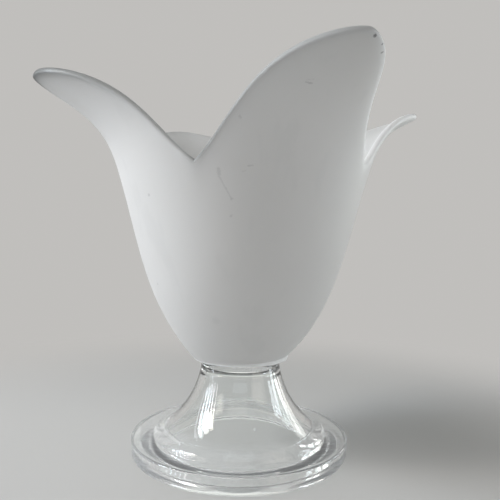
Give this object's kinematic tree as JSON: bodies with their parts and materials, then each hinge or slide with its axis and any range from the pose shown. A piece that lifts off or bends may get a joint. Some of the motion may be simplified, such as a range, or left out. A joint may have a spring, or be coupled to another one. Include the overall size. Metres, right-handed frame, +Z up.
{
  "type": "lily vase",
  "caption": "Lily-shaped vase: a frosted glass bowl that opens into flared petals, on a clear glass foot with a hollow stem and a round disc.",
  "frame": {"origin": "centre of the foot's underside, on the surface that the vase stands on", "axes": "+Z up along the stem's axis; the picture's camera looks along +Y, with +X to its right"},
  "size_m": [0.2871, 0.2642, 0.2683],
  "materials": {
    "clear_glass": "clear pressed glass, polished by fire, with faint scuffs on the disc",
    "clear_bond": "clear cured adhesive",
    "frosted_glass": "satin-etched white glass, matt and translucent"
  },
  "bodies": {
    "root": {"glass_foot": "clear_glass", "bond_film": "clear_bond", "lily_bowl": "frosted_glass"}
  },
  "joints": []
}
